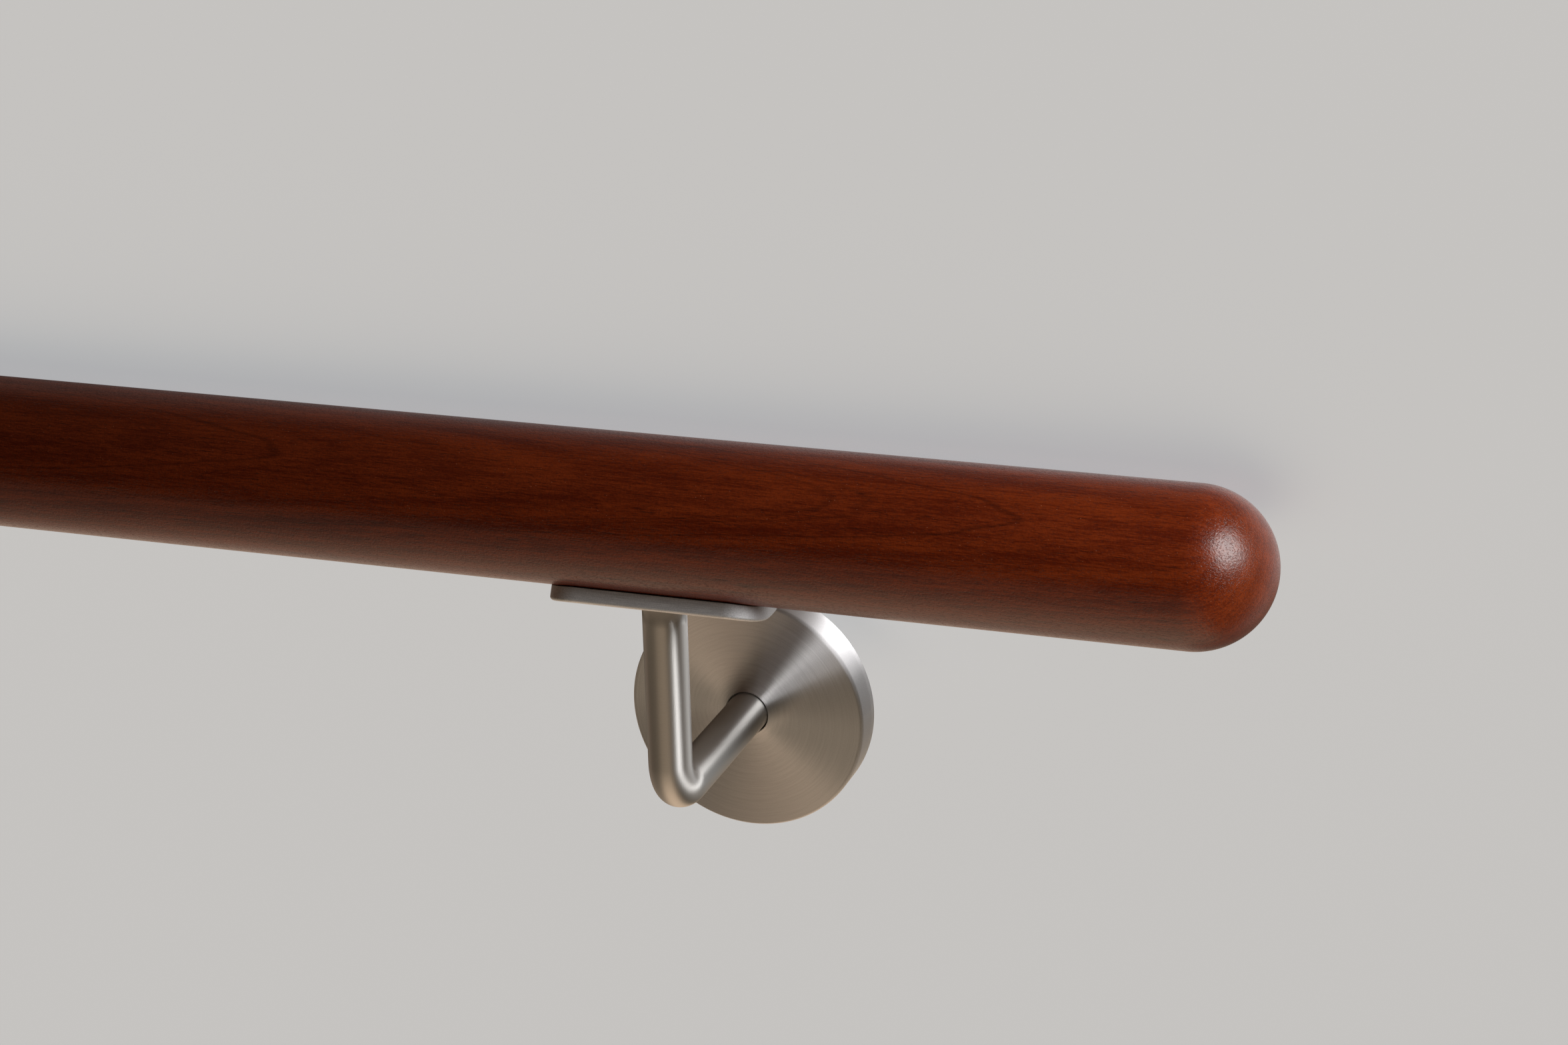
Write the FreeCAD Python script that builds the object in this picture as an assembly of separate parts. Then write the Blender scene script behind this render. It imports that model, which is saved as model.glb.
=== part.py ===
import FreeCAD
import Part
import math
import os

# Stair handrail length: a round wooden rail with ball ends, on two bent-rod steel brackets.
# Millimetres. Everything is first built in the fitted position, then laid down in its rest position.
# Fitted position: X along the rail, Y towards the mounting plane at the back, Z up,
# with the origin on the rail's axis at half its length.

# Rail
RAIL_LENGTH = 1000.0
RAIL_RADIUS = 21.0
BRACKET_INSET = 163.0

# Bracket rod
ROD_RADIUS = 6.0
ROD_DROP = 81.5
ELBOW_RADIUS = 11.0
STANDOFF = 70.0

# Saddle plate, bent to an arc a little wider than the rail
PLATE_LENGTH = 61.0
PLATE_WIDTH = 25.0
PLATE_THICKNESS = 4.0
PLATE_CORNER_RADIUS = 10.0
PLATE_EDGE_RADIUS = 0.8
SEAT_RADIUS = 24.0

# Cover rosette
ROSETTE_RADIUS = 35.0
ROSETTE_DEPTH = 10.5
ROSETTE_WALL = 1.5
ROSETTE_EDGE_RADIUS = 1.0
ROSETTE_ROD_CLEARANCE = 0.5

# Fixing flange under the rosette
FLANGE_THICKNESS = 6.0
FLANGE_FIT_CLEARANCE = 0.1
FLANGE_SOCKET_DEPTH = 3.0
FLANGE_HOLE_COUNT = 3
FLANGE_HOLE_RADIUS = 3.25
FLANGE_SINK_RADIUS = 6.0
FLANGE_HOLE_CIRCLE_RADIUS = 22.0

# Countersunk wood screws that hold the plate to the rail
SCREW_EDGE_DISTANCE = 10.5
SCREW_RADIUS = 2.0
SCREW_HEAD_RADIUS = 4.0
SCREW_LENGTH = 25.0
SCREW_TIP_LENGTH = 4.0
SCREW_RECESS = 0.35
SCREW_CLEARANCE = 0.05
SCREW_SLOT_LENGTH = 4.4
SCREW_SLOT_WIDTH = 0.9
SCREW_SLOT_DEPTH = 1.3

# Values that follow from the ones above
X_AXIS = FreeCAD.Vector(1, 0, 0)
Y_AXIS = FreeCAD.Vector(0, 1, 0)
Z_AXIS = FreeCAD.Vector(0, 0, 1)
BRACKET_X = RAIL_LENGTH / 2 - BRACKET_INSET
SEAT_AXIS_Z = SEAT_RADIUS - RAIL_RADIUS
PLATE_OUTER_RADIUS = SEAT_RADIUS + PLATE_THICKNESS
PLATE_BOTTOM_Z = SEAT_AXIS_Z - PLATE_OUTER_RADIUS
PLATE_HALF_ANGLE = math.degrees(PLATE_WIDTH / 2 / (SEAT_RADIUS + PLATE_THICKNESS / 2))
FLANGE_RADIUS = ROSETTE_RADIUS - ROSETTE_WALL - FLANGE_FIT_CLEARANCE
FLANGE_FRONT_Y = STANDOFF - FLANGE_THICKNESS
ROSETTE_FACE_Y = STANDOFF - ROSETTE_DEPTH
ROD_END_Y = FLANGE_FRONT_Y + FLANGE_SOCKET_DEPTH
SCREW_SPACING = PLATE_LENGTH - 2 * SCREW_EDGE_DISTANCE
SCREW_HEAD_Z = PLATE_BOTTOM_Z + SCREW_RECESS
SCREW_HEAD_HEIGHT = SCREW_HEAD_RADIUS - SCREW_RADIUS


def vec(x, y, z):
    return FreeCAD.Vector(x, y, z)


def turned(points, axis_point, axis_direction):
    """Solid of revolution of a closed outline whose corners are given in order."""
    outline = Part.makePolygon(points + [points[0]])
    return Part.Face(outline).revolve(axis_point, axis_direction, 360)


def screw_positions():
    """Screw centres along the rail, for both brackets."""
    offsets = (-SCREW_SPACING / 2, SCREW_SPACING / 2)
    return [side * BRACKET_X + offset for side in (-1, 1) for offset in offsets]


def screw_profile(x, clearance):
    """Half outline of a screw seen from the front, grown by a clearance for the hole that takes it."""
    shank = SCREW_RADIUS + clearance
    head = SCREW_HEAD_RADIUS + clearance
    top = SCREW_HEAD_Z + SCREW_LENGTH + clearance
    shoulder = SCREW_HEAD_Z + SCREW_HEAD_HEIGHT
    return [
        vec(x, 0, SCREW_HEAD_Z),
        vec(x + head, 0, SCREW_HEAD_Z),
        vec(x + shank, 0, shoulder),
        vec(x + shank, 0, top - SCREW_TIP_LENGTH),
        vec(x, 0, top),
    ]


def screw_body(x, clearance):
    return turned(screw_profile(x, clearance), vec(x, 0, 0), Z_AXIS)


def make_rail():
    """Round bar with a hemisphere at each end and a pilot hole for every screw."""
    half = RAIL_LENGTH / 2
    straight = half - RAIL_RADIUS
    diagonal = RAIL_RADIUS * math.sqrt(0.5)
    edges = [
        Part.makeLine(vec(-half, 0, 0), vec(half, 0, 0)),
        Part.Arc(
            vec(half, 0, 0),
            vec(straight + diagonal, 0, diagonal),
            vec(straight, 0, RAIL_RADIUS),
        ).toShape(),
        Part.makeLine(vec(straight, 0, RAIL_RADIUS), vec(-straight, 0, RAIL_RADIUS)),
        Part.Arc(
            vec(-straight, 0, RAIL_RADIUS),
            vec(-straight - diagonal, 0, diagonal),
            vec(-half, 0, 0),
        ).toShape(),
    ]
    rail = Part.Face(Part.Wire(edges)).revolve(vec(0, 0, 0), X_AXIS, 360)
    for x in screw_positions():
        rail = rail.cut(screw_body(x, SCREW_CLEARANCE))
    return rail


def make_saddle_plate(x):
    """Arc-bent plate with rounded corners, softened underside and two countersunk holes."""
    half = PLATE_LENGTH / 2
    section = Part.makePolygon([
        vec(x - half, 0, PLATE_BOTTOM_Z),
        vec(x + half, 0, PLATE_BOTTOM_Z),
        vec(x + half, 0, PLATE_BOTTOM_Z + PLATE_THICKNESS),
        vec(x - half, 0, PLATE_BOTTOM_Z + PLATE_THICKNESS),
        vec(x - half, 0, PLATE_BOTTOM_Z),
    ])
    face = Part.Face(section)
    seat_axis = vec(x, 0, SEAT_AXIS_Z)
    face.rotate(seat_axis, X_AXIS, -PLATE_HALF_ANGLE)
    plate = face.revolve(seat_axis, X_AXIS, 2 * PLATE_HALF_ANGLE)
    corners = [edge for edge in plate.Edges if abs(edge.Length - PLATE_THICKNESS) < 1e-6]
    plate = plate.makeFillet(PLATE_CORNER_RADIUS, corners)
    underside = max(plate.Faces, key=lambda item: underside_score(item))
    plate = plate.makeFillet(PLATE_EDGE_RADIUS, underside.OuterWire.Edges)
    for offset in (-SCREW_SPACING / 2, SCREW_SPACING / 2):
        hole = screw_body(x + offset, SCREW_CLEARANCE)
        mouth = Part.makeCylinder(
            SCREW_HEAD_RADIUS + SCREW_CLEARANCE,
            PLATE_THICKNESS,
            vec(x + offset, 0, SCREW_HEAD_Z - PLATE_THICKNESS),
            Z_AXIS,
        )
        plate = plate.cut(hole.fuse(mouth))
    return plate


def underside_score(face):
    """Area of a face that lies on the plate's outer arc, and nothing for any other face."""
    surface = face.Surface
    on_arc = hasattr(surface, "Radius") and abs(surface.Radius - PLATE_OUTER_RADIUS) < 1e-6
    return face.Area if on_arc else 0.0


def make_bracket_rod(x):
    """Bent rod: post, elbow and arm, its top hollowed to sit on the plate's curved underside."""
    arm_z = -ROD_DROP
    bend_z = arm_z + ELBOW_RADIUS
    diagonal = ELBOW_RADIUS * math.sqrt(0.5)
    path = Part.Wire([
        Part.makeLine(vec(x, 0, -RAIL_RADIUS), vec(x, 0, bend_z)),
        Part.Arc(
            vec(x, 0, bend_z),
            vec(x, ELBOW_RADIUS - diagonal, bend_z - diagonal),
            vec(x, ELBOW_RADIUS, arm_z),
        ).toShape(),
        Part.makeLine(vec(x, ELBOW_RADIUS, arm_z), vec(x, ROD_END_Y, arm_z)),
    ])
    section = Part.Wire(Part.makeCircle(ROD_RADIUS, vec(x, 0, -RAIL_RADIUS), Z_AXIS))
    rod = path.makePipeShell([section], True, False)
    seat = Part.makeCylinder(
        PLATE_OUTER_RADIUS,
        PLATE_LENGTH,
        vec(x - PLATE_LENGTH / 2, 0, SEAT_AXIS_Z),
        X_AXIS,
    )
    return rod.cut(seat)


def make_fixing_flange(x):
    """Round base plate with a socket for the rod and countersunk holes on a circle."""
    centre = vec(x, FLANGE_FRONT_Y, -ROD_DROP)
    flange = Part.makeCylinder(FLANGE_RADIUS, FLANGE_THICKNESS, centre, Y_AXIS)
    flange = flange.cut(Part.makeCylinder(ROD_RADIUS, FLANGE_SOCKET_DEPTH, centre, Y_AXIS))
    sink_depth = FLANGE_SINK_RADIUS - FLANGE_HOLE_RADIUS
    for index in range(FLANGE_HOLE_COUNT):
        angle = math.radians(90 + index * 360 / FLANGE_HOLE_COUNT)
        across = FLANGE_HOLE_CIRCLE_RADIUS * math.cos(angle)
        up = FLANGE_HOLE_CIRCLE_RADIUS * math.sin(angle)
        mouth = centre + vec(across, 0, up)
        hole = Part.makeCylinder(FLANGE_HOLE_RADIUS, FLANGE_THICKNESS, mouth, Y_AXIS)
        sink = Part.makeCone(FLANGE_SINK_RADIUS, FLANGE_HOLE_RADIUS, sink_depth, mouth, Y_AXIS)
        flange = flange.cut(hole.fuse(sink))
    return flange


def make_cover_rosette(x):
    """Thin round cap with a softened rim, open at the back, with a hole for the rod."""
    hole = ROD_RADIUS + ROSETTE_ROD_CLEARANCE
    inner = ROSETTE_RADIUS - ROSETTE_WALL
    rounding = ROSETTE_EDGE_RADIUS
    diagonal = rounding * math.sqrt(0.5)
    front = ROSETTE_FACE_Y

    def at(radius, y):
        return vec(x, y, -ROD_DROP + radius)

    edges = [
        Part.makeLine(at(hole, front), at(ROSETTE_RADIUS - rounding, front)),
        Part.Arc(
            at(ROSETTE_RADIUS - rounding, front),
            at(ROSETTE_RADIUS - rounding + diagonal, front + rounding - diagonal),
            at(ROSETTE_RADIUS, front + rounding),
        ).toShape(),
        Part.makeLine(at(ROSETTE_RADIUS, front + rounding), at(ROSETTE_RADIUS, STANDOFF)),
        Part.makeLine(at(ROSETTE_RADIUS, STANDOFF), at(inner, STANDOFF)),
        Part.makeLine(at(inner, STANDOFF), at(inner, front + ROSETTE_WALL)),
        Part.makeLine(at(inner, front + ROSETTE_WALL), at(hole, front + ROSETTE_WALL)),
        Part.makeLine(at(hole, front + ROSETTE_WALL), at(hole, front)),
    ]
    return Part.Face(Part.Wire(edges)).revolve(vec(x, 0, -ROD_DROP), Y_AXIS, 360)


def make_saddle_screw(x):
    """Countersunk screw with a cross recess in its head."""
    screw = screw_body(x, 0.0)
    for length, width in (
        (SCREW_SLOT_LENGTH, SCREW_SLOT_WIDTH),
        (SCREW_SLOT_WIDTH, SCREW_SLOT_LENGTH),
    ):
        corner = vec(x - length / 2, -width / 2, SCREW_HEAD_Z)
        screw = screw.cut(Part.makeBox(length, width, SCREW_SLOT_DEPTH, corner))
    return screw


def rest_placement():
    """Turns the fitted part onto the floor, where it lies on the rail and the rosettes' upper rims."""
    rim_y = STANDOFF
    rim_z = ROSETTE_RADIUS - ROD_DROP
    contact = math.atan2(rim_z, rim_y) + math.acos(RAIL_RADIUS / math.hypot(rim_y, rim_z))
    tip = FreeCAD.Rotation(X_AXIS, -90 - math.degrees(contact))
    face_forward = FreeCAD.Rotation(Z_AXIS, 180)
    return FreeCAD.Placement(vec(0, 0, RAIL_RADIUS), face_forward.multiply(tip))


shapes = {"handrail": make_rail()}
for side_name, side in (("right", 1), ("left", -1)):
    centre_x = side * BRACKET_X
    shapes[side_name + "_saddle_plate"] = make_saddle_plate(centre_x)
    shapes[side_name + "_bracket_rod"] = make_bracket_rod(centre_x)
    shapes[side_name + "_fixing_flange"] = make_fixing_flange(centre_x)
    shapes[side_name + "_cover_rosette"] = make_cover_rosette(centre_x)
    half_spacing = side * SCREW_SPACING / 2
    shapes[side_name + "_saddle_screw_outer"] = make_saddle_screw(centre_x + half_spacing)
    shapes[side_name + "_saddle_screw_inner"] = make_saddle_screw(centre_x - half_spacing)

# Lay the part down and centre it over the origin
laid = {name: shape.copy() for name, shape in shapes.items()}
for shape in laid.values():
    shape.Placement = rest_placement().multiply(shape.Placement)
whole = Part.makeCompound(list(laid.values())).optimalBoundingBox()
shift = vec(0, -(whole.YMin + whole.YMax) / 2, 0)

os.makedirs("parts", exist_ok=True)
for name, shape in laid.items():
    shape.translate(shift)
    shape.exportStep("parts/" + name + ".step")
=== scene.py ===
import math

import bpy
from mathutils import Matrix, Vector


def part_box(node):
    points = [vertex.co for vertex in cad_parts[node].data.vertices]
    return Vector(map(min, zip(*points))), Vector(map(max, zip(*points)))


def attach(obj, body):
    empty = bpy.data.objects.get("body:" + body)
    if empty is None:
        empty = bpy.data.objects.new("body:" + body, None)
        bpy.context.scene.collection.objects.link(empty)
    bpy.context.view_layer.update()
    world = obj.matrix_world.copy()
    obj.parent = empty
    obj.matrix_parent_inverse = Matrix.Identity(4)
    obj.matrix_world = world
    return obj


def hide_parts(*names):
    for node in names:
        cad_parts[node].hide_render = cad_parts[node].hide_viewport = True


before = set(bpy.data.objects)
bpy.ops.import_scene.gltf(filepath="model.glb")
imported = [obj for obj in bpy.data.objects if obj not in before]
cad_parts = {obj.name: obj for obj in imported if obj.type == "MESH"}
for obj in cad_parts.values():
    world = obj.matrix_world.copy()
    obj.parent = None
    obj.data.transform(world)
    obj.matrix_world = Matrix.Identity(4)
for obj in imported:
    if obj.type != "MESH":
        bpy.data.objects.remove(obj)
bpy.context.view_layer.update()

# Sizes of the part in metres, as in the solids
RAIL_LENGTH = 1.0
RAIL_RADIUS = 0.021
BRACKET_X = 0.337
ROD_RADIUS = 0.006
ROD_DROP = 0.0815
ELBOW_RADIUS = 0.011
STANDOFF = 0.070
SEAT_AXIS_Z = 0.003
PLATE_OUTER_RADIUS = 0.028
ROD_END_Y = 0.067
ROSETTE_RADIUS = 0.035
ROSETTE_DEPTH = 0.0105
ROSETTE_WALL = 0.0015
ROSETTE_EDGE = 0.001
ROSETTE_HOLE = 0.0065
ROSETTE_LIP = 0.0001
ROSETTE_SIDE_LOOP = 0.003
POST_TOP_Z = -0.027
# Steps of the fine meshes
RAIL_SIDES, RAIL_STEPS, BALL_STEPS = 192, 48, 56
ROD_SIDES, POST_STEPS, ELBOW_STEPS, ARM_STEPS = 96, 15, 32, 16
ROSETTE_SIDES, ROSETTE_FACE_STEPS, ROSETTE_EDGE_STEPS = 256, 28, 10
# Wood in millimetres from the middle of the rail: the pith lies outside the rail and drifts along it
MM = 1000.0
PITH_Y, PITH_Z = 29.7, -29.7
PITH_DRIFT = 0.033
ARCH_RADIUS = 63.0
KNOT = (367.3, -18.5, -9.9)
# Arches of the growth rings: place of the tip along the rail in millimetres, and strength
ARCH_TIPS = (
    (435.5, 1.0), (399.0, 0.6), (388.5, 0.7), (231.0, 0.8), (120.0, 0.7),
    (20.0, 0.8), (-95.0, 0.8), (-180.0, 0.6), (-300.0, 0.8), (-410.0, 0.7),
)
# Lamp and camera in the fitted position, from the centre of the ball end
BALL = Vector((RAIL_LENGTH / 2 - RAIL_RADIUS, 0.0, 0.0))
LAMP_TOWARDS = Vector((0.75, -0.31, 0.585)).normalized()
LAMP_DISTANCE = 0.45
LAMP_SIZE = 0.28
LAMP_WATTS = 4.4
CAMERA_PLACE = Vector((0.15791, -0.74189, 0.29145))
CAMERA_RIGHT = Vector((0.94417611, 0.32851841, -0.02464003))
CAMERA_UP = Vector((-0.09174681, 0.3340437, 0.93808173))
FOCAL_PIXELS = 4880.76
PICTURE_WIDTH_PIXELS = 2352
SENSOR_WIDTH_MM = 36.0
FLOOR_REACH = 8.0


# Fitted position: X along the rail to the rounded end that the picture shows, Y to the back, Z up
def rest_matrix():
    """Matrix from the fitted position, with its origin in the middle of the rail, to the part on the floor."""
    rim_z = ROSETTE_RADIUS - ROD_DROP
    contact = math.atan2(rim_z, STANDOFF) + math.acos(RAIL_RADIUS / math.hypot(STANDOFF, rim_z))
    low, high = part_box("handrail")
    s, c = math.sin(contact), math.cos(contact)
    axis_y = (low[1] + high[1]) / 2
    return Matrix((
        (-1.0, 0.0, 0.0, 0.0),
        (0.0, s, -c, axis_y),
        (0.0, -c, -s, RAIL_RADIUS),
        (0.0, 0.0, 0.0, 1.0),
    ))


REST = rest_matrix()


class Value:
    """A socket inside a finish, so that shader maths reads as plain expressions."""

    def __init__(self, finish, socket):
        self.finish = finish
        self.socket = socket

    def _join(self, operation, first, second):
        kind = "ShaderNodeMath"
        for item in (first, second):
            if isinstance(item, Value) and item.socket.type in ("VECTOR", "RGBA"):
                kind = "ShaderNodeVectorMath"
        return self.finish.node(kind, {"operation": operation}, {0: first, 1: second})

    def __add__(self, other):
        return self._join("ADD", self, other)

    def __radd__(self, other):
        return self._join("ADD", other, self)

    def __sub__(self, other):
        return self._join("SUBTRACT", self, other)

    def __rsub__(self, other):
        return self._join("SUBTRACT", other, self)

    def __mul__(self, other):
        return self._join("MULTIPLY", self, other)

    def __truediv__(self, other):
        return self._join("DIVIDE", self, other)

    def __pow__(self, other):
        return self._join("POWER", self, other)


class Recipe:
    """Nodes of one tree, added by plain calls."""

    def __init__(self, owner):
        owner.use_nodes = True
        self.tree = owner.node_tree
        self.tree.nodes.clear()

    def node(self, kind, settings=None, sockets=None, out=0):
        """Adds a node: its settings first, then the values or links of its sockets."""
        made = self.tree.nodes.new(kind)
        for name, setting in (settings or {}).items():
            setattr(made, name, setting)
        for name, value in (sockets or {}).items():
            if isinstance(value, Value):
                self.tree.links.new(value.socket, made.inputs[name])
            elif made.inputs[name].type == "VECTOR" and isinstance(value, (int, float)):
                made.inputs[name].default_value = (value, value, value)
            else:
                made.inputs[name].default_value = value
        return Value(self, made.outputs[out]) if made.outputs else None

    def place(self, kind="Object"):
        """Coordinates of a texture."""
        return self.node("ShaderNodeTexCoord", out=kind)

    def fitted(self, place, from_origin=True):
        """Turns a place or direction on the floor back into the fitted position."""
        if from_origin:
            place = place - tuple(REST.translation)
        axes = [tuple(REST.col[i][:3]) for i in range(3)]
        return [
            self.node("ShaderNodeVectorMath", {"operation": "DOT_PRODUCT"}, {0: place, 1: axis}, "Value")
            for axis in axes
        ]

    def apart(self, vector):
        """The three parts of a vector."""
        first = self.node("ShaderNodeSeparateXYZ", {}, {0: vector}, "X")
        made = first.socket.node
        return first, Value(self, made.outputs["Y"]), Value(self, made.outputs["Z"])

    def together(self, x, y, z):
        """Vector of three parts."""
        return self.node("ShaderNodeCombineXYZ", {}, {"X": x, "Y": y, "Z": z})

    def grain(self, vector, scale=1.0, detail=2.0, roughness=0.5):
        """Noise from 0 to 1 around one half."""
        return self.node(
            "ShaderNodeTexNoise",
            {"noise_dimensions": "3D"},
            {"Vector": vector, "Scale": scale, "Detail": detail, "Roughness": roughness},
            "Fac",
        )

    def cells(self, vector):
        """Distance to the nearest of many scattered points, in cells."""
        sockets = {"Vector": vector, "Scale": 1.0}
        return self.node("ShaderNodeTexVoronoi", {"feature": "F1"}, sockets, "Distance")

    def size(self, value):
        """Value without its sign."""
        return self.node("ShaderNodeMath", {"operation": "ABSOLUTE"}, {0: value})

    def step(self, value, low, high, to_low=0.0, to_high=1.0):
        """Smooth step of a value between two limits."""
        return self.node(
            "ShaderNodeMapRange",
            {"interpolation_type": "SMOOTHSTEP", "clamp": True},
            {"Value": value, "From Min": low, "From Max": high, "To Min": to_low, "To Max": to_high},
        )

    def blend(self, factor, first, second):
        """Colour between two colours."""
        return self.node(
            "ShaderNodeMix",
            {"data_type": "RGBA", "clamp_factor": True},
            {0: factor, 6: first, 7: second},
            2,
        )

    def bump(self, height, distance):
        """Normal of a surface that is so many metres high where the height is 1."""
        return self.node(
            "ShaderNodeBump",
            {},
            {"Strength": 1.0, "Distance": distance, "Height": height},
            "Normal",
        )


class Finish(Recipe):
    """A material with one main shader, whose fixed values are set on its own sockets."""

    def __init__(self, name, **fixed):
        self.material = bpy.data.materials.new(name)
        super().__init__(self.material)
        self.shader = self.tree.nodes.new("ShaderNodeBsdfPrincipled")
        output = self.tree.nodes.new("ShaderNodeOutputMaterial")
        self.tree.links.new(self.shader.outputs[0], output.inputs["Surface"])
        for socket, value in fixed.items():
            self.shader.inputs[socket.replace("_", " ")].default_value = value

    def feed(self, socket, value):
        """Links a value to a socket of the main shader."""
        self.tree.links.new(value.socket, self.shader.inputs[socket])


def lacquered_wood():
    """Red-brown hardwood: growth rings in arches, a knot, fibres, open pores and a satin lacquer."""
    wood = Finish("lacquered_wood", IOR=1.5, Specular_IOR_Level=0.30)
    x, y, z = [part * MM for part in wood.fitted(wood.place())]

    def along(length, width, detail=2.0, roughness=0.6):
        """Noise whose features are so many millimetres long and wide."""
        vector = wood.together(x / length, y / width, z / width)
        return wood.grain(vector, detail=detail, roughness=roughness)

    def dashes(length, width):
        """Scattered points stretched along the rail, as distances from the nearest."""
        return wood.cells(wood.together(x / length, y / width, z / width))

    sway = along(60.0, 14.0) - 0.5
    pith = ((y - PITH_Y) ** 2.0 + (z - PITH_Z) ** 2.0) ** 0.5
    knot_x, knot_y, knot_z = KNOT
    knot = (((x - knot_x) / 3.0) ** 2.0 + (y - knot_y) ** 2.0 + (z - knot_z) ** 2.0) ** 0.5
    ring = pith - x * PITH_DRIFT + sway * 1.2 + wood.step(knot, 7.0, 0.0) * 1.6
    band = wood.grain(wood.together(ring * 0.9, x * 0.002, 0.0), detail=2.0, roughness=0.5)
    late = 0.0
    for tip, weight in ARCH_TIPS:
        line = wood.step(wood.size(ring - (ARCH_RADIUS - tip * PITH_DRIFT)), 0.11, 0.0)
        late = line * weight + late
    fibre = along(1.8, 0.14, detail=1.0)
    strand = along(9.0, 0.5)
    patch = along(45.0, 4.0)
    cluster = wood.step(along(24.0, 2.6), 0.42, 0.62, 0.25, 1.0)
    long_pore = wood.step(dashes(17.0, 0.62) - late * 0.08, 0.19, 0.10) * cluster
    short_pore = wood.step(dashes(5.0, 0.5) - late * 0.08, 0.19, 0.10) * cluster
    pit = wood.step(dashes(1.5, 0.3), 0.42, 0.18)
    pore = long_pore + (1.0 - long_pore) * short_pore * 0.8
    tone = fibre * 0.32 + strand * 0.28 + patch * 0.2 + band * 0.2
    # Darker along the top and front of the whole rail, the side far from the pith
    top_front_dark = wood.step(pith, 52.0, 62.5)
    end_grain = wood.step(wood.size(x), 482.0, 497.0)
    knot_core = wood.step(knot + fibre * 1.5, 2.2, 0.8)
    rows = wood.step(along(12.0, 1.6), 0.46, 0.56)
    fleck = wood.step(dashes(1.9, 0.9), 0.10, 0.055) * rows
    base = wood.blend(wood.step(tone, 0.39, 0.61), (0.073, 0.0069, 0.0012, 1), (0.192, 0.0275, 0.0046, 1))
    for share, colour in (
        (top_front_dark * 0.4, (0.030, 0.0030, 0.0006, 1)),
        (end_grain * 0.45, (0.050, 0.0125, 0.0035, 1)),
        (late * 0.55, (0.030, 0.0032, 0.0008, 1)),
        (knot_core * 0.6, (0.030, 0.0032, 0.0008, 1)),
        (pore * 0.8, (0.016, 0.0018, 0.0006, 1)),
        (pit * 0.36, (0.020, 0.0022, 0.0006, 1)),
        (fleck * 0.38, (0.32, 0.15, 0.09, 1)),
    ):
        base = wood.blend(share, base, colour)
    wood.feed("Base Color", base)
    peel = wood.grain(wood.together(x, y, z), scale=1.7, detail=1.0)
    wood.feed("Roughness", 0.22 + peel * 0.08 + pit * 0.12 + end_grain * 0.05)
    wood.feed("Normal", wood.bump(peel - pit * 0.3 - pore * 0.35, 0.00006))
    return wood.material


def rod_steel():
    """Satin steel, brushed round the rods."""
    steel = Finish("rod_steel", Metallic=1.0, Anisotropic=0.9, Anisotropic_Rotation=0.25)
    x, y, z = steel.apart(steel.place() * MM)
    speck = steel.grain(steel.together(x, y, z), scale=4.5, detail=2.0, roughness=0.5)
    brush = steel.grain(steel.together(x * 0.15, y * 5.0, z * 5.0), detail=2.0)
    tone = speck * 0.5 + brush * 0.5
    steel.feed("Base Color", steel.blend(tone, (0.56, 0.545, 0.525, 1), (0.72, 0.705, 0.685, 1)))
    steel.feed("Roughness", 0.37 + tone * 0.16)
    steel.feed("Normal", steel.bump(speck, 0.000019))
    return steel.material


def plain_steel(name, dark, light, roughness, groove):
    """Steel with fine lines along the rail, whose grooves are so many metres deep."""
    steel = Finish(name, Metallic=1.0)
    x, y, z = steel.apart(steel.place() * MM)
    lines = steel.grain(steel.together(x * 0.12, y * 7.0, z * 7.0), detail=2.0, roughness=0.6)
    speck = steel.grain(steel.together(x, y, z), scale=3.5, detail=2.0)
    tone = lines * 0.6 + speck * 0.4
    steel.feed("Base Color", steel.blend(steel.step(tone, 0.3, 0.7), dark, light))
    steel.feed("Roughness", roughness + tone * 0.12)
    steel.feed("Normal", steel.bump(lines * 0.8 + speck * 0.2, groove))
    return steel.material


def rosette_steel():
    """Steel brushed in circles round the rod."""
    steel = Finish("rosette_steel", Metallic=1.0, Anisotropic=1.0, Anisotropic_Rotation=0.25)
    x, y, z = steel.apart(steel.place() * MM)
    radius = (x ** 2.0 + y ** 2.0) ** 0.5
    arc = steel.together(radius * 1.6, x / radius * 1.5, y / radius * 1.5)
    rings = steel.grain(arc, detail=4.0, roughness=0.6)
    speck = steel.grain(steel.together(x, y, z), scale=4.0, detail=2.0)
    tone = steel.step(rings * 0.6 + speck * 0.4, 0.3, 0.7)
    steel.feed("Base Color", steel.blend(tone, (0.80, 0.79, 0.80, 1), (0.99, 0.98, 0.99, 1)))
    rim = steel.step(radius, 33.8, 34.6)
    steel.feed("Roughness", 0.40 + rings * 0.12 + rim * 0.22)
    steel.feed("Normal", steel.bump(rings, 0.0000022))
    return steel.material


def keep_piece(name, mesh, matrix, material, node, turned=False):
    """Shows a finer mesh in place of a node of the part. A turned piece keeps its own axis as Z."""
    piece = bpy.data.objects.new(name, mesh)
    bpy.context.collection.objects.link(piece)
    if turned:
        piece.matrix_world = matrix
    else:
        mesh.transform(matrix)
    mesh.materials.append(material)
    mesh.shade_smooth()
    bpy.context.view_layer.update()
    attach(piece, "root")
    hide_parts(node)


def skin(name, rings, closed_ends=True):
    """Mesh from rings of points, each ring joined to the next."""
    count = len(rings[0])
    points = [point for ring in rings for point in ring]
    faces = []
    for row in range(len(rings) - 1):
        for column in range(count):
            after = (column + 1) % count
            low, high = row * count, (row + 1) * count
            faces.append((low + column, low + after, high + after, high + column))
    if closed_ends:
        faces.append(tuple(reversed(range(count))))
        faces.append(tuple(range(len(points) - count, len(points))))
    mesh = bpy.data.meshes.new(name)
    mesh.from_pydata(points, [], faces)
    mesh.validate()
    mesh.update()
    return mesh


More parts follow.
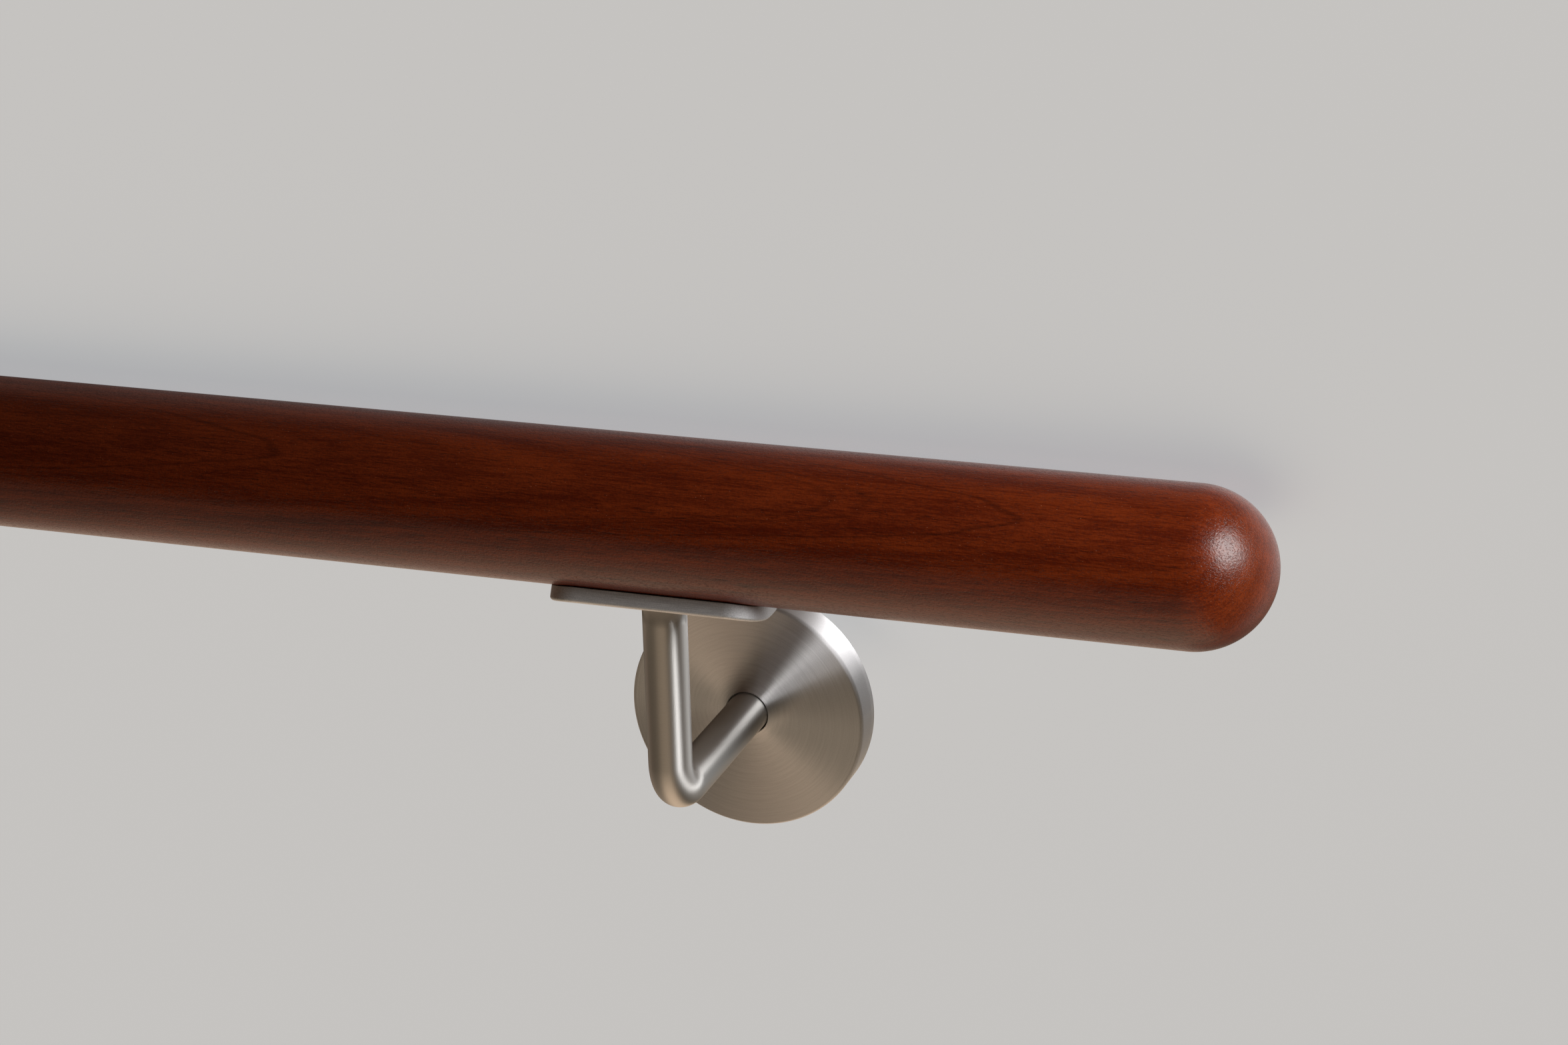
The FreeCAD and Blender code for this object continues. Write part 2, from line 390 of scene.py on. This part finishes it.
def brush_along_x(mesh):
    """Sets the texture space so that the brushing runs along X, which is round the rod at every bend."""
    mesh.use_auto_texspace = False
    mesh.texspace_location = (0.0, -10.0, 0.0)
    mesh.texspace_size = (1.0e4, 10.0, 10.0)


def circle(count):
    """Cosine and sine of evenly spaced angles."""
    angles = [2 * math.pi * i / count for i in range(count)]
    return [(math.cos(angle), math.sin(angle)) for angle in angles]


def rail_mesh():
    """Round bar along X with a hemisphere at each end."""
    straight = RAIL_LENGTH / 2 - RAIL_RADIUS
    profile = []
    for i in range(1, BALL_STEPS + 1):
        angle = math.pi / 2 * i / BALL_STEPS
        profile.append((-straight - RAIL_RADIUS * math.cos(angle), RAIL_RADIUS * math.sin(angle)))
    for i in range(1, RAIL_STEPS):
        profile.append((-straight + 2 * straight * i / RAIL_STEPS, RAIL_RADIUS))
    profile += [(-x, radius) for x, radius in reversed(profile[:BALL_STEPS])]
    around = circle(RAIL_SIDES)
    rings = [[(x, radius * c, radius * s) for c, s in around] for x, radius in profile]
    return skin("handrail_fine", rings)


def rod_mesh():
    """Bent rod with its top hollowed to fit the saddle plate."""
    bend_z = -ROD_DROP + ELBOW_RADIUS
    around = circle(ROD_SIDES)
    rings = []
    top = []
    for c, s in around:
        y = ROD_RADIUS * s
        top.append((ROD_RADIUS * c, y, SEAT_AXIS_Z - math.sqrt(PLATE_OUTER_RADIUS ** 2 - y * y)))
    rings.append(top)
    for i in range(1, POST_STEPS + 1):
        z = POST_TOP_Z + (bend_z - POST_TOP_Z) * i / POST_STEPS
        rings.append([(ROD_RADIUS * c, ROD_RADIUS * s, z) for c, s in around])
    for i in range(1, ELBOW_STEPS + 1):
        angle = math.pi / 2 * i / ELBOW_STEPS
        out = math.cos(angle)
        down = math.sin(angle)
        ring = []
        for c, s in around:
            reach = ELBOW_RADIUS - ROD_RADIUS * s
            ring.append((ROD_RADIUS * c, ELBOW_RADIUS - reach * out, bend_z - reach * down))
        rings.append(ring)
    for i in range(1, ARM_STEPS + 1):
        y = ELBOW_RADIUS + (ROD_END_Y - ELBOW_RADIUS) * i / ARM_STEPS
        rings.append([(ROD_RADIUS * c, y, -ROD_DROP + ROD_RADIUS * s) for c, s in around])
    mesh = skin("bracket_rod_fine", rings)
    brush_along_x(mesh)
    return mesh


def rosette_mesh():
    """Thin cap turned about Z, its face at the top and its open back at zero height."""
    edge = ROSETTE_EDGE
    depth = ROSETTE_DEPTH
    inner = ROSETTE_RADIUS - ROSETTE_WALL
    lip = ROSETTE_LIP
    face_start = ROSETTE_HOLE + 2 * lip
    face_width = ROSETTE_RADIUS - edge - ROSETTE_HOLE - 2 * lip
    profile = [
        (ROSETTE_HOLE, depth - ROSETTE_WALL),
        (ROSETTE_HOLE, depth - 2 * lip),
        (ROSETTE_HOLE, depth - lip),
        (ROSETTE_HOLE + lip, depth),
        (face_start, depth),
    ]
    for i in range(1, ROSETTE_FACE_STEPS + 1):
        profile.append((face_start + face_width * i / ROSETTE_FACE_STEPS, depth))
    for i in range(1, ROSETTE_EDGE_STEPS + 1):
        angle = math.pi / 2 * i / ROSETTE_EDGE_STEPS
        radius = ROSETTE_RADIUS - edge + edge * math.sin(angle)
        profile.append((radius, depth - edge + edge * math.cos(angle)))
    profile += [
        (ROSETTE_RADIUS, ROSETTE_SIDE_LOOP),
        (ROSETTE_RADIUS, lip),
        (ROSETTE_RADIUS - lip, 0.0),
        (inner + lip, 0.0),
        (inner, lip),
        (inner, depth - ROSETTE_WALL),
    ]
    around = circle(ROSETTE_SIDES)
    rings = [[(radius * c, radius * s, z) for c, s in around] for radius, z in profile]
    return skin("cover_rosette_fine", rings + [rings[0]], closed_ends=False)


WOOD = lacquered_wood()
ROD = rod_steel()
PLATE = plain_steel(
    "plate_steel", dark=(0.58, 0.58, 0.59, 1), light=(0.84, 0.84, 0.85, 1), roughness=0.62, groove=0.000022
)
FLANGE = plain_steel(
    "flange_steel", dark=(0.42, 0.41, 0.39, 1), light=(0.58, 0.57, 0.55, 1), roughness=0.36, groove=0.000006
)
SCREW = plain_steel(
    "screw_steel", dark=(0.60, 0.60, 0.58, 1), light=(0.74, 0.74, 0.72, 1), roughness=0.24, groove=0.000003
)
ROSETTE = rosette_steel()

keep_piece("rail", rail_mesh(), REST, WOOD, "handrail")
for side_name, side in (("right", 1), ("left", -1)):
    bracket = REST @ Matrix.Translation((side * BRACKET_X, 0, 0))
    back = bracket @ Matrix.Translation((0, STANDOFF, -ROD_DROP)) @ Matrix.Rotation(math.pi / 2, 4, "X")
    rod_node, rosette_node = side_name + "_bracket_rod", side_name + "_cover_rosette"
    keep_piece(side_name + "_rod", rod_mesh(), bracket, ROD, rod_node)
    keep_piece(side_name + "_rosette", rosette_mesh(), back, ROSETTE, rosette_node, True)
for name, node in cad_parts.items():
    for word, finish in (("plate", PLATE), ("flange", FLANGE), ("screw", SCREW)):
        if word in name:
            node.material_slots[0].material = finish


def pale_floor():
    """Plain floor that only the camera sees: it takes the part's shadow and doesn't colour it."""
    mesh = bpy.data.meshes.new("floor")
    corners = [(FLOOR_REACH * x, FLOOR_REACH * y, 0.0) for x, y in ((-1, -1), (1, -1), (1, 1), (-1, 1))]
    mesh.from_pydata(corners, [], [(0, 1, 2, 3)])
    floor = bpy.data.objects.new("floor", mesh)
    bpy.context.collection.objects.link(floor)
    paint = Finish(
        "floor_paint",
        Roughness=1.0,
        Specular_IOR_Level=0.0,
        Base_Color=(0.42, 0.45, 0.48, 1),
        Emission_Color=(0.97, 1.0, 1.03, 1),
        Emission_Strength=0.42,
    )
    mesh.materials.append(paint.material)
    floor.visible_diffuse = False
    floor.visible_glossy = False
    floor.visible_shadow = False
    return floor


def room_light():
    """Soft light all round the part: a pale side behind it, a warm pale side under it and a dim front."""
    world = bpy.data.worlds.new("room")
    bpy.context.scene.world = world
    room = Recipe(world)
    x, y, z = room.fitted(room.place("Generated"), from_origin=False)
    down = z * -1.0
    light = room.blend(room.step(z, 0.2, 1.0), (0.033, 0.025, 0.015, 1), (0.055, 0.045, 0.032, 1))
    behind = room.blend(room.step(x, -0.62, 0.1), (0.05, 0.045, 0.04, 1), (0.90, 0.90, 0.90, 1))
    behind = room.blend(room.step(z, 0.2, 0.6), behind, (0.24, 0.205, 0.18, 1))
    light = room.blend(room.step(y, 0.15, 0.8), light, behind)
    under = room.blend(room.step(down, 0.62, 0.95), (0.52, 0.42, 0.31, 1), (1.38, 1.03, 0.73, 1))
    under = room.blend(room.step(x, -0.7, -0.2), (0.30, 0.24, 0.18, 1), under)
    under = room.blend(room.step(x, 0.15, 0.45), under, (0.10, 0.08, 0.055, 1))
    below = room.blend(room.step(x, -0.24, 0.02), (0.68, 0.53, 0.41, 1), (0.20, 0.17, 0.14, 1))
    below = room.blend(room.step(x, 0.3, 0.5), below, (0.64, 0.60, 0.56, 1))
    under = room.blend(room.step(y, 0.0, 0.5), under, below)
    light = room.blend(room.step(down, 0.27, 0.45), light, under)
    seen = room.node("ShaderNodeLightPath", out="Is Camera Ray")
    light = room.blend(seen, light, (0.62, 0.62, 0.62, 1))
    background = room.node("ShaderNodeBackground", {}, {"Color": light, "Strength": 1.0})
    room.node("ShaderNodeOutputWorld", {}, {"Surface": background})


def window_light(floor):
    """Soft lamp off the rounded end, a little in front of the part. It lights the part and not the floor."""
    data = bpy.data.lights.new("window", "AREA")
    data.shape = "SQUARE"
    data.size = LAMP_SIZE
    data.energy = LAMP_WATTS
    lamp = bpy.data.objects.new("window", data)
    bpy.context.collection.objects.link(lamp)
    turn = LAMP_TOWARDS.to_track_quat("Z", "Y").to_matrix().to_4x4()
    lamp.matrix_world = REST @ Matrix.Translation(BALL + LAMP_TOWARDS * LAMP_DISTANCE) @ turn
    lamp.visible_camera = False
    unlit = bpy.data.collections.new("unlit_by_window")
    unlit.objects.link(floor)
    unlit.collection_objects[0].light_linking.link_state = "EXCLUDE"
    lamp.light_linking.receiver_collection = unlit


room_light()
window_light(pale_floor())


def photo_camera():
    """Camera fitted to the picture's outlines."""
    data = bpy.data.cameras.new("photo_camera")
    data.sensor_width = SENSOR_WIDTH_MM
    data.lens = FOCAL_PIXELS / PICTURE_WIDTH_PIXELS * SENSOR_WIDTH_MM
    camera = bpy.data.objects.new("photo_camera", data)
    bpy.context.collection.objects.link(camera)
    back = CAMERA_RIGHT.cross(CAMERA_UP)
    turn = Matrix((CAMERA_RIGHT, CAMERA_UP, back)).transposed().to_4x4()
    camera.matrix_world = REST @ Matrix.Translation(BALL + CAMERA_PLACE) @ turn
    bpy.context.scene.camera = camera


photo_camera()
bpy.context.scene.view_settings.view_transform = "Standard"
bpy.context.view_layer.update()
